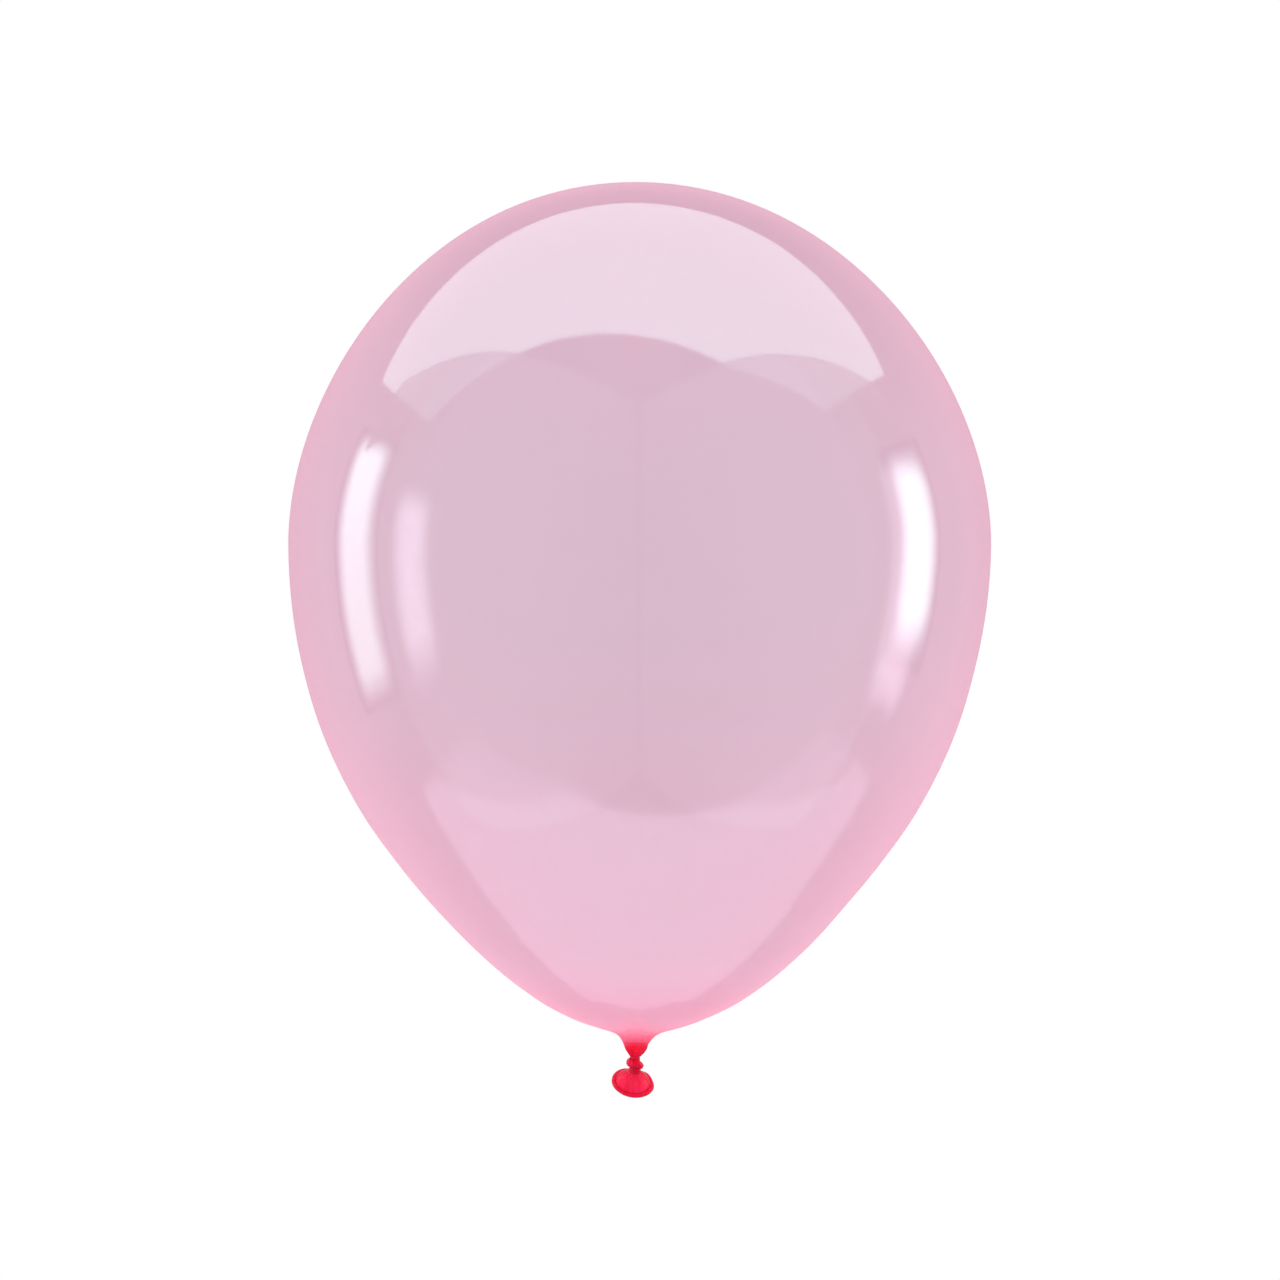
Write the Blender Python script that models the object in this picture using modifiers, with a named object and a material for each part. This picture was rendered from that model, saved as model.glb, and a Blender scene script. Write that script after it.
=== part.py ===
"""An inflated, knotted latex balloon.

Frame: metres, +Z up, origin on the balloon's axis at the upper pinch of its tied neck, where a
ribbon would be tied. +X is the balloon's right and -Y its front. The skin is one moulding on the
real balloon. Here it is divided at the pinches, where the tied latex bends.
"""

import math

import bpy
import bmesh
from mathutils import Euler, Matrix, Vector

# Inflated envelope. Heights are above the upper pinch.
BODY_RADIUS = 0.1400
CROWN_HEIGHT = 0.3476
WIDEST_HEIGHT = 0.2028
CROWN_HANDLE = 0.0836       # how flat the crown is
SHOULDER_HANDLE = 0.0655    # how full the shoulder is
FLANK_HANDLE = 0.1203       # how far the sides run down before they turn in
FOOT_RADIUS = 0.0380        # where the cone turns towards the neck
FOOT_HEIGHT = 0.0204
FOOT_SLOPE = math.radians(28.7)
FOOT_HANDLE = 0.0283
THROAT_HANDLE = 0.0090
THROAT_SLOPE = math.radians(59.4)
STRETCHED_WALL = 0.0000125  # skin of the inflated body
SLACK_WALL = 0.00025        # skin of the unstretched neck
ENVELOPE_SEGMENTS = 48
CROWN_ROWS = 8
FLANK_ROWS = 8
FOOT_ROWS = 6

# Gathered neck
THROAT_RADIUS = 0.0056
THROAT_HEIGHT = 0.0052
NECK_WALL = 0.0006
NECK_END_RADIUS = 0.0027
NECK_END_RISE = 0.0016
NECK_RIM_RISE = 0.0010
NECK_FLOOR = 0.0006
NECK_SEGMENTS = 28

# Pinches: twisted latex that bends like a ball in two sockets
STRAND_RADIUS = 0.0015
STRAND_SEGMENTS = 16
STRAND_RINGS = 10

# Knot
KNOT_HEIGHT = 0.0049        # from the upper pinch to the lower one
CORE_WALL = 0.0005
CORE_RIM_DROP = 0.0012      # from a pinch to the core's rim
LOOP_THICKNESS = 0.00145
LOOP_END_ROOM = 0.0010      # from a pinch to the loop's nearest edge, untilted
LOOP_TILT = math.radians(10.0)
KNOT_SEGMENTS = 24

# Tail below the knot: a flared skirt that ends in the balloon's rolled lip
LIP_RADIUS = 0.0085         # outside
BEAD_RADIUS = 0.0010
SKIRT_LENGTH = 0.0074       # from the lower pinch to the lip's middle plane
SKIRT_WALL = 0.0003
SKIRT_START = 0.0011        # from the lower pinch to the skirt's slim end
SKIRT_END_WALL = 0.0006
TAIL_PITCH = math.radians(36.0)
TAIL_LEAN = math.radians(9.0)
TAIL_SEGMENTS = 28
BEAD_SIDES = 10

GAP = 0.0003                # clearance between neighbouring pieces
MERGE = 0.000001

# Colours in linear RGB
PINK_FILM = (0.72, 0.40, 0.52, 1.0)
RED_LATEX = (0.85, 0.02, 0.07, 1.0)
DEEP_RED_LATEX = (0.62, 0.01, 0.04, 1.0)


def clear_scene():
    """Removes every object, so that the script can run in any open file."""
    for old in list(bpy.data.objects):
        bpy.data.objects.remove(old, do_unlink=True)


def new_collection(name):
    """A collection linked to the scene."""
    group = bpy.data.collections.new(name)
    bpy.context.scene.collection.children.link(group)
    return group


def latex(name, colour, roughness):
    """A Principled material for one piece of latex."""
    material = bpy.data.materials.new(name)
    material.use_nodes = True
    shader = material.node_tree.nodes["Principled BSDF"]
    shader.inputs["Base Color"].default_value = colour
    shader.inputs["Roughness"].default_value = roughness
    shader.inputs["Metallic"].default_value = 0.0
    return material


def bezier(start, first, second, end, steps):
    """Points on a cubic curve from start to end, without its last point."""
    points = []
    for i in range(steps):
        t = i / steps
        u = 1.0 - t
        weights = (u ** 3, 3 * u * u * t, 3 * u * t * t, t ** 3)
        corners = (start, first, second, end)
        points.append(tuple(sum(w * c[k] for w, c in zip(weights, corners)) for k in (0, 1)))
    return points


def add_object(name, mesh, material, group):
    """A named object with its own material in the balloon's collection."""
    mesh.shade_smooth()
    mesh.set_sharp_from_angle(angle=math.radians(40.0))
    mesh.materials.append(material)
    piece = bpy.data.objects.new(name, mesh)
    group.objects.link(piece)
    return piece


def turned(name, profile, closed, segments, material, group):
    """A piece turned about Z from (radius, height) points that run down its outer side."""
    mesh = bpy.data.meshes.new(name)
    rows = range(len(profile))
    edges = [(i, i + 1) for i in rows if i + 1 < len(profile)]
    if closed:
        edges.append((len(profile) - 1, 0))
    mesh.from_pydata([(r, 0.0, z) for r, z in profile], edges, [])
    piece = add_object(name, mesh, material, group)
    screw = piece.modifiers.new("turn", "SCREW")
    screw.axis = "Z"
    screw.angle = math.tau
    screw.steps = segments
    screw.render_steps = segments
    screw.use_merge_vertices = True
    screw.merge_threshold = MERGE
    screw.use_smooth_shade = True
    return piece


def ball(name, radius, material, group):
    """A round strand end."""
    mesh = bpy.data.meshes.new(name)
    shape = bmesh.new()
    bmesh.ops.create_uvsphere(shape, u_segments=STRAND_SEGMENTS, v_segments=STRAND_RINGS, radius=radius)
    shape.to_mesh(mesh)
    shape.free()
    return add_object(name, mesh, material, group)


def socket_arc(centre, radius, rim, pole, steps):
    """Points round a ball socket, from the rim's height to the pole on the axis."""
    start = math.acos(max(-1.0, min(1.0, abs(rim - centre) / radius)))
    side = 1.0 if pole > centre else -1.0
    points = []
    for i in range(steps + 1):
        angle = start * (1.0 - i / steps)
        points.append((radius * math.sin(angle), centre + side * radius * math.cos(angle)))
    points[-1] = (0.0, pole)
    return points


def skin_wall(radius):
    """Thickness of the skin where the envelope has this radius: it thins as it stretches."""
    stretch = max(radius / THROAT_RADIUS, 1.0)
    return max(SLACK_WALL / stretch ** 2, STRETCHED_WALL)


def envelope_profile():
    """The envelope's closed outline: down its outside, then up its inside."""
    crown = (0.0, CROWN_HEIGHT)
    widest = (BODY_RADIUS, WIDEST_HEIGHT)
    foot = (FOOT_RADIUS, FOOT_HEIGHT)
    throat = (THROAT_RADIUS, THROAT_HEIGHT)
    outer = bezier(crown, (CROWN_HANDLE, CROWN_HEIGHT),
                   (BODY_RADIUS, WIDEST_HEIGHT + SHOULDER_HANDLE), widest, CROWN_ROWS)
    outer += bezier(widest, (BODY_RADIUS, WIDEST_HEIGHT - FLANK_HANDLE), foot, foot, FLANK_ROWS)
    foot_out = (FOOT_RADIUS - FOOT_HANDLE * math.cos(FOOT_SLOPE),
                FOOT_HEIGHT - FOOT_HANDLE * math.sin(FOOT_SLOPE))
    throat_in = (THROAT_RADIUS + THROAT_HANDLE * math.cos(THROAT_SLOPE),
                 THROAT_HEIGHT + THROAT_HANDLE * math.sin(THROAT_SLOPE))
    outer += bezier(foot, foot_out, throat_in, throat, FOOT_ROWS)
    outer.append(throat)
    inner = []
    for i, (radius, height) in enumerate(outer):
        before = outer[max(i - 1, 0)]
        after = outer[min(i + 1, len(outer) - 1)]
        along = Vector((after[0] - before[0], after[1] - before[1])).normalized()
        if i == 0:
            along = Vector((1.0, 0.0))
        wall = skin_wall(radius)
        inward = Vector((along.y, -along.x)) * wall
        inner.append((radius + inward.x, height + inward.y))
    inner[0] = (0.0, CROWN_HEIGHT - STRETCHED_WALL)
    return outer + inner[::-1]


def neck_profile():
    """The neck: a funnel whose closed lower end holds half of the upper pinch's socket."""
    socket = STRAND_RADIUS + GAP
    top = THROAT_HEIGHT - GAP
    top_radius = THROAT_RADIUS - GAP * math.cos(THROAT_SLOPE) / math.sin(THROAT_SLOPE)
    floor_height = socket + NECK_FLOOR
    rim_radius = math.sqrt(socket ** 2 - NECK_RIM_RISE ** 2)
    end_radius = max(NECK_END_RADIUS, rim_radius + NECK_WALL)
    shoulder = (end_radius + 0.6 * (top_radius - end_radius), 0.5 * (top + NECK_END_RISE))
    outline = [(0.0, floor_height), (top_radius - NECK_WALL, top), (top_radius, top)]
    outline += [shoulder, (end_radius, NECK_END_RISE)]
    outline += socket_arc(0.0, socket, NECK_RIM_RISE, socket, 4)
    return outline


def core_radius():
    """Outside radius of the knot's core, which its two sockets' rims set."""
    socket = STRAND_RADIUS + GAP
    return math.sqrt(socket ** 2 - CORE_RIM_DROP ** 2) + CORE_WALL


def core_profile():
    """The knot's core: a short barrel with a ball socket in each end."""
    socket = STRAND_RADIUS + GAP
    top, bottom = -CORE_RIM_DROP, CORE_RIM_DROP - KNOT_HEIGHT
    upper = socket_arc(0.0, socket, top, -socket, 4)
    lower = socket_arc(-KNOT_HEIGHT, socket, bottom, socket - KNOT_HEIGHT, 4)
    return upper[::-1] + [(core_radius(), top), (core_radius(), bottom)] + lower


def loop_profile():
    """The section of the wrap round the knot's core, about the wrap's own middle."""
    half_height = KNOT_HEIGHT / 2 - LOOP_END_ROOM
    half_width = LOOP_THICKNESS / 2
    middle = (core_radius() + GAP) / math.cos(LOOP_TILT) + half_width
    sides = 12
    points = []
    for i in range(sides):
        angle = math.tau * i / sides
        points.append((middle + half_width * math.sin(angle), half_height * math.cos(angle)))
    return points


def skirt_profile():
    """The flared skirt about the tail's own axis: Z = 0 at the lower pinch, skirt downwards."""
    socket = STRAND_RADIUS + GAP
    rim_radius = math.sqrt(socket ** 2 - SKIRT_START ** 2)
    bead_middle = LIP_RADIUS - BEAD_RADIUS
    reach = BEAD_RADIUS + GAP + SKIRT_WALL / 2
    slope = math.radians(52.0)
    end = (bead_middle - reach * math.sin(slope), SKIRT_LENGTH - reach * math.cos(slope))
    start = (rim_radius + SKIRT_END_WALL / 2, SKIRT_START)
    waist = (start[0], start[1] + 0.42 * (end[1] - start[1]))
    flare = (end[0] - 0.35 * end[0] * math.sin(slope), end[1] - 0.35 * end[0] * math.cos(slope))
    line = bezier(start, waist, flare, end, 6) + [end]
    outer, inner = [], []
    for i, (radius, depth) in enumerate(line):
        before = line[max(i - 1, 0)]
        after = line[min(i + 1, len(line) - 1)]
        along = Vector((after[0] - before[0], after[1] - before[1])).normalized()
        share = i / (len(line) - 1)
        half = (SKIRT_END_WALL * (1.0 - share) + SKIRT_WALL * share) / 2
        outer.append((radius + along.y * half, -(depth - along.x * half)))
        inner.append((radius - along.y * half, -(depth + along.x * half)))
    web = socket + SKIRT_END_WALL
    inner[0] = (0.0, -web)
    return socket_arc(0.0, socket, -SKIRT_START, -socket, 4)[::-1] + outer + inner[::-1]


def bead_profile():
    """The rolled lip's round section about the tail's own axis."""
    middle = LIP_RADIUS - BEAD_RADIUS
    points = []
    for i in range(BEAD_SIDES):
        angle = math.tau * i / BEAD_SIDES
        points.append((middle + BEAD_RADIUS * math.sin(angle),
                       -SKIRT_LENGTH + BEAD_RADIUS * math.cos(angle)))
    return points


def add_pivot(name, place, turn, group):
    """An empty that holds a moving piece on its joint's centre."""
    pivot = bpy.data.objects.new(name, None)
    pivot.empty_display_size = STRAND_RADIUS * 4
    pivot.matrix_world = Matrix.Translation(place) @ turn.to_matrix().to_4x4()
    group.objects.link(pivot)
    return pivot


def build_envelope(group):
    """The inflated body of the balloon."""
    film = latex("envelope_latex", PINK_FILM, 0.08)
    turned("envelope", envelope_profile(), True, ENVELOPE_SEGMENTS, film, group)


def build_neck(group):
    """The gathered neck between the body and the upper pinch."""
    red = latex("neck_latex", RED_LATEX, 0.22)
    turned("neck", neck_profile(), False, NECK_SEGMENTS, red, group)


def build_knot(group):
    """The two pinches, and between them the knot's core with the loop wrapped round it."""
    strand = latex("strand_latex", DEEP_RED_LATEX, 0.28)
    knot = latex("knot_latex", RED_LATEX, 0.22)
    wrap = latex("wrap_latex", RED_LATEX, 0.20)
    ball("neck_strand", STRAND_RADIUS, strand, group)
    turned("knot_core", core_profile(), False, KNOT_SEGMENTS, knot, group)
    loop = turned("knot_loop", loop_profile(), True, KNOT_SEGMENTS, wrap, group)
    loop.location = (0.0, 0.0, -KNOT_HEIGHT / 2)
    loop.rotation_euler = (0.0, LOOP_TILT, 0.0)


def build_tail(group):
    """The lower pinch, the flared skirt and the rolled lip."""
    strand = latex("tail_strand_latex", DEEP_RED_LATEX, 0.28)
    skin = latex("skirt_latex", RED_LATEX, 0.22)
    bead = latex("lip_latex", RED_LATEX, 0.16)
    lower_pinch = Vector((0.0, 0.0, -KNOT_HEIGHT))
    pivot = add_pivot("tail_pivot", lower_pinch, Euler((TAIL_PITCH, TAIL_LEAN, 0.0)), group)
    end = ball("tail_strand", STRAND_RADIUS, strand, group)
    end.location = lower_pinch
    skirt = turned("tail_skirt", skirt_profile(), False, TAIL_SEGMENTS, skin, group)
    skirt.parent = pivot
    lip = turned("rolled_lip", bead_profile(), True, TAIL_SEGMENTS, bead, group)
    lip.parent = pivot


def main():
    """Builds the balloon from its crown down to its lip."""
    clear_scene()
    group = new_collection("latex_balloon")
    build_envelope(group)
    build_neck(group)
    build_knot(group)
    build_tail(group)
    bpy.context.view_layer.update()


main()
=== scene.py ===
"""Looks of an inflated, knotted latex balloon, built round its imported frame.

The balloon is one skin. Blown up tight it is a clear pink film. Towards the neck it slackens, thickens
and reddens, is gathered there, knotted, and ends below the knot in a flared tail with a rolled lip.
"""

import logging
import math
from dataclasses import dataclass, field
from enum import Enum
from functools import reduce

import bpy
import numpy as np
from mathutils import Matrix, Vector


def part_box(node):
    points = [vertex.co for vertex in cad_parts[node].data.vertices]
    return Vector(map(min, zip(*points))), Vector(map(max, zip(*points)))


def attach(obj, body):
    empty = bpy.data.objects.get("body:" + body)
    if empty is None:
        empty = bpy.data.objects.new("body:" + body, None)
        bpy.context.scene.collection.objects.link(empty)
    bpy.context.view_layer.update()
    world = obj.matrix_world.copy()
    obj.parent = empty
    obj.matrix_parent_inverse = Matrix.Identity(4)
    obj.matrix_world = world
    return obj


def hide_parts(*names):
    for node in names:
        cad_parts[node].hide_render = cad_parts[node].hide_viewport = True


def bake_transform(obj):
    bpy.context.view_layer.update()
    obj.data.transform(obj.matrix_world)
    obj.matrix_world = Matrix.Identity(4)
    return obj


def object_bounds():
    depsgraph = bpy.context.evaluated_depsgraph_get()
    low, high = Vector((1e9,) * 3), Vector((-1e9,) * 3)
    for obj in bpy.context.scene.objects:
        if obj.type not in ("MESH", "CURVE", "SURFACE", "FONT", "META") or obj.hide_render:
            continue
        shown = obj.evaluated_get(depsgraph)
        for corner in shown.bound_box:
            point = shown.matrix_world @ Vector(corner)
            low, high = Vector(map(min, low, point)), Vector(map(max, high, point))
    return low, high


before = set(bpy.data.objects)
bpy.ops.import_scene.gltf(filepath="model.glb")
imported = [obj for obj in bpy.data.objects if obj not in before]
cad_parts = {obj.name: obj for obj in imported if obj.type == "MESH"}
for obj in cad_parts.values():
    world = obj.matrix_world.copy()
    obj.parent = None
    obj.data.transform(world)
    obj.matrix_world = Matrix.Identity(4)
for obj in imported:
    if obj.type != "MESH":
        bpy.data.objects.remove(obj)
cad_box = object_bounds()

MM = 0.001
TURN = 2 * math.pi
LOG = logging.getLogger("balloon")
Colour = tuple[float, float, float, float]
Span = tuple[float, float]
Stops = tuple[Span, ...]
RIGHT, BACK, DOWN = Vector((1, 0, 0)), Vector((0, 1, 0)), Vector((0, 0, -1))
WHITE: Colour = (1, 1, 1, 1)


class Slot(Enum):
    """The record's finishes."""

    FILM = "clear_pink_film"
    NECK = "gathered_red_latex"
    TWIST = "twisted_red_latex"
    KNOT = "knot_red_latex"
    TAIL = "tail_red_latex"
    LIP = "lip_red_latex"


# ---------------------------------------------------------------- small tools for shapes


def bezier(corners: list[Span], steps: int) -> list[Span]:
    """Points along a cubic curve.

    Args:
        corners: The curve's start, two handles and end.
        steps: How many points to give. The curve's end isn't one of them.

    Returns:
        The points from the start on.
    """
    points = []
    for i in range(steps):
        t = i / steps
        u = 1 - t
        weights = (u**3, 3 * u * u * t, 3 * u * t * t, t**3)
        points.append(tuple(sum(w * c[k] for w, c in zip(weights, corners)) for k in (0, 1)))
    return points


def read_stops(x: float, stops: Stops) -> float:
    """A smooth value read from a short list of stops.

    Args:
        x: Where to read.
        stops: Pairs of place and value, in rising order of place.

    Returns:
        The value at x, which never overshoots the stops on either side.
    """
    if x <= stops[0][0]:
        return stops[0][1]
    if x >= stops[-1][0]:
        return stops[-1][1]
    slopes = [(b[1] - a[1]) / (b[0] - a[0]) for a, b in zip(stops, stops[1:])]
    tangents = [slopes[0]]
    for before, after in zip(slopes, slopes[1:]):
        tangents.append(0.0 if before * after <= 0 else 2 * before * after / (before + after))
    tangents.append(slopes[-1])
    i = max(k for k, stop in enumerate(stops[:-1]) if stop[0] <= x)
    (x0, y0), (x1, y1) = stops[i], stops[i + 1]
    h = x1 - x0
    t = (x - x0) / h
    straight = y0 * (1 + 2 * t) * (1 - t) ** 2 + y1 * t * t * (3 - 2 * t)
    return straight + h * t * (1 - t) * ((1 - t) * tangents[i] - t * tangents[i + 1])


def soft_step(low: float, high: float, x: float) -> float:
    """How far x has gone from low to high, from 0 to 1, with eased ends."""
    t = min(max((x - low) / (high - low), 0.0), 1.0)
    return t * t * (3 - 2 * t)


def pleats(angles: np.ndarray, count: int, turn: float) -> np.ndarray:
    """Uneven gathers round a bundle of slack latex. Two slow waves make some wider than others.

    Args:
        angles: Where to read, round the bundle.
        count: How many gathers there are.
        turn: How far the gathers have wound round.

    Returns:
        Heights from -1 in a crease to 1 on a fold, with round folds and narrow creases.
    """
    a = angles - turn
    uneven = a + 0.30 * np.sin(2 * a + 0.8) / 2 + 0.36 * np.sin(3 * a + 2.1) / 3
    return 2 * np.abs(np.cos(count * uneven / 2)) ** 0.6 - 1


def blunt(share: float, tip: float) -> float:
    """How full a bundle is at a share of its length, where each end is a round tip."""
    rise = min(min(share, 1 - share) / tip, 1.0)
    return math.sqrt(max(1 - (1 - rise) ** 2, 0.01))


def angles_round(sides: int) -> np.ndarray:
    """Evenly spaced angles round a circle."""
    return np.arange(sides) * TURN / sides


def ring(centre: Vector, across: Vector, over: Vector, radii: np.ndarray) -> np.ndarray:
    """One ring of points.

    Args:
        centre: The ring's middle.
        across: Unit direction of angle zero.
        over: Unit direction of a quarter turn.
        radii: The distance from the middle at each evenly spaced angle.

    Returns:
        The points, one a row.
    """
    a = angles_round(len(radii))
    sideways = np.outer(radii * np.cos(a), np.array(across))
    return np.array(centre) + sideways + np.outer(radii * np.sin(a), np.array(over))


def quads(first: int, second: int, sides: int) -> list[tuple[int, ...]]:
    """Faces between two rings of vertices, given by the number of each ring's first vertex."""
    pairs = [(j, (j + 1) % sides) for j in range(sides)]
    return [(first + j, second + j, second + k, first + k) for j, k in pairs]


def mesh_piece(name: str, points: np.ndarray, faces: list[tuple[int, ...]]) -> bpy.types.Object:
    """A smooth closed mesh in the scene, turned so that its faces look outwards.

    Args:
        name: The object's name.
        points: Its vertices, in metres.
        faces: Its faces, by vertex number.

    Returns:
        The new object.
    """
    volume = 0.0
    for face in faces:
        for b, c in zip(face[1:], face[2:]):
            volume += float(np.dot(points[face[0]], np.cross(points[b], points[c])))
    if volume < 0:
        faces = [face[::-1] for face in faces]
    mesh = bpy.data.meshes.new(name)
    mesh.from_pydata(points.tolist(), [], faces)
    mesh.shade_smooth()
    piece = bpy.data.objects.new(name, mesh)
    bpy.context.scene.collection.objects.link(piece)
    return piece


def solid_piece(name: str, rings: list[np.ndarray]) -> bpy.types.Object:
    """A closed bundle through a list of rings, with a low cone on each end."""
    n, count = len(rings[0]), len(rings)
    points = np.vstack(rings + [rings[0].mean(0), rings[-1].mean(0)])
    faces = [f for i in range(count - 1) for f in quads(i * n, (i + 1) * n, n)]
    top, bottom, last = count * n, count * n + 1, (count - 1) * n
    faces += [(top, j, (j + 1) % n) for j in range(n)]
    faces += [(bottom, last + (j + 1) % n, last + j) for j in range(n)]
    return mesh_piece(name, points, faces)


def loop_piece(name: str, rings: list[np.ndarray]) -> bpy.types.Object:
    """A closed ring, such as a bead, whose last section joins its first."""
    n, count = len(rings[0]), len(rings)
    faces = [f for i in range(count) for f in quads(i * n, (i + 1) % count * n, n)]
    return mesh_piece(name, np.vstack(rings), faces)


def shell_piece(
    name: str, outer: list[np.ndarray], inner: list[np.ndarray], crown: bool = False
) -> bpy.types.Object:
    """A thin wall between two stacks of rings.

    Args:
        name: The object's name.
        outer: The outside, from the top down.
        inner: The inside, ring for ring.
        crown: Whether the top is closed over by a crown, or left as an open rim.

    Returns:
        The wall as one closed piece.
    """
    n, count = len(outer[0]), len(outer)
    points = np.vstack(outer + inner)
    faces = [f for i in range(count - 1) for f in quads(i * n, (i + 1) * n, n)]
    faces += [f[::-1] for i in range(count, 2 * count - 1) for f in quads(i * n, (i + 1) * n, n)]
    faces += quads((count - 1) * n, (2 * count - 1) * n, n)
    if crown:
        points = np.vstack([points, outer[0].mean(0), inner[0].mean(0)])
        pole, middle = 2 * count * n, count * n
        faces += [(pole, j, (j + 1) % n) for j in range(n)]
        faces += [(pole + 1, middle + (j + 1) % n, middle + j) for j in range(n)]
    else:
        faces += quads(count * n, 0, n)
    return mesh_piece(name, points, faces)


# ---------------------------------------------------------------- shader building


class Board:
    """Adds and joins the nodes of one node tree."""

    def __init__(self, tree: bpy.types.NodeTree) -> None:
        """Takes the tree and clears it."""
        self.tree = tree
        self.tree.nodes.clear()

    def node(
        self, kind: str, inputs: dict[str, object] | None = None, **settings: object
    ) -> bpy.types.Node:
        """A new node.

        Args:
            kind: Its type, without the leading ShaderNode.
            inputs: Socket names with a number, a colour or another node's output.
            settings: Its other properties.

        Returns:
            The node.
        """
        made = self.tree.nodes.new(kind if kind.startswith("Node") else "ShaderNode" + kind)
        for name, value in settings.items():
            setattr(made, name, value)
        for name, value in (inputs or {}).items():
            self.feed(made.inputs[name], value)
        return made

    def feed(self, socket: bpy.types.NodeSocket, value: object) -> None:
        """Sets a socket to a plain value, or links an output to it."""
        if isinstance(value, bpy.types.NodeSocket):
            self.tree.links.new(value, socket)
        else:
            socket.default_value = value

    def maths(self, operation: str, a: object, b: object = 0.0) -> bpy.types.NodeSocket:
        """The output of a Math node on two values."""
        made = self.node("Math", operation=operation)
        self.feed(made.inputs[0], a)
        self.feed(made.inputs[1], b)
        return made.outputs[0]

    def total(self, values: tuple) -> bpy.types.NodeSocket:
        """The sum of some values."""
        return reduce(lambda a, b: self.maths("ADD", a, b), values)

    def ramp(
        self, value: object, low: float, high: float, first: float, last: float
    ) -> bpy.types.NodeSocket:
        """A value eased from one range into another, and held inside it."""
        ends = {"Value": value, "From Min": low, "From Max": high, "To Min": first, "To Max": last}
        return self.node("MapRange", ends, interpolation_type="SMOOTHSTEP").outputs["Result"]

    def mix(self, share: object, a: object, b: object) -> bpy.types.NodeSocket:
        """Two colours mixed."""
        made = self.node("Mix", data_type="RGBA")
        for number, value in ((0, share), (6, a), (7, b)):
            self.feed(made.inputs[number], value)
        return made.outputs[2]

    def layer(self, share: object, under: bpy.types.Node, over: bpy.types.Node) -> bpy.types.Node:
        """Two shaders mixed: the share is how much of the second shows."""
        made = self.node("MixShader")
        self.feed(made.inputs[0], share)
        self.feed(made.inputs[1], under.outputs[0])
        self.feed(made.inputs[2], over.outputs[0])
        return made

    def grain(
        self, place: object, cloud_scale: float, grain_scale: float
    ) -> dict[str, bpy.types.NodeSocket]:
        """The outputs of the shared latex grain, by name."""
        made = self.node("Group", node_tree=latex_grain())
        for name, value in (("Vector", place), ("Cloud Scale", cloud_scale), ("Grain Scale", grain_scale)):
            self.feed(made.inputs[name], value)
        return {output.name: output for output in made.outputs}


def latex_grain() -> bpy.types.ShaderNodeTree:
    """The unevenness that all the balloon's latex shares.

    Returns:
        A group with the inputs Vector, Cloud Scale and Grain Scale. Its outputs run from 0 to 1:
        Cloud is the slow drift of dye and thickness, and Height is the fine skin of the dipped rubber.
    """
    if "latex_grain" in bpy.data.node_groups:
        return bpy.data.node_groups["latex_grain"]
    group = bpy.data.node_groups.new("latex_grain", "ShaderNodeTree")
    sockets = (("Vector", "Vector"), ("Cloud Scale", "Float"), ("Grain Scale", "Float"))
    for name, kind in sockets:
        group.interface.new_socket(name, in_out="INPUT", socket_type="NodeSocket" + kind)
    for name in ("Cloud", "Height"):
        group.interface.new_socket(name, in_out="OUTPUT", socket_type="NodeSocketFloat")
    board = Board(group)
    given = board.node("NodeGroupInput").outputs
    cloud, grain = (
        board.node("TexNoise", {"Vector": given["Vector"], "Scale": given[scale], "Detail": detail})
        for scale, detail in (("Cloud Scale", 2.0), ("Grain Scale", 4.0))
    )
    out = board.node("NodeGroupOutput")
    board.feed(out.inputs["Cloud"], board.ramp(cloud.outputs[0], 0.3, 0.7, 0.0, 1.0))
    board.feed(out.inputs["Height"], grain.outputs[0])
    return group


def new_board(name: str) -> tuple[bpy.types.Material, Board]:
    """An empty material and the board to build it on."""
    material = bpy.data.materials.new(name)
    material.use_nodes = True
    return material, Board(material.node_tree)


# ---------------------------------------------------------------- finishes


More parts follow.
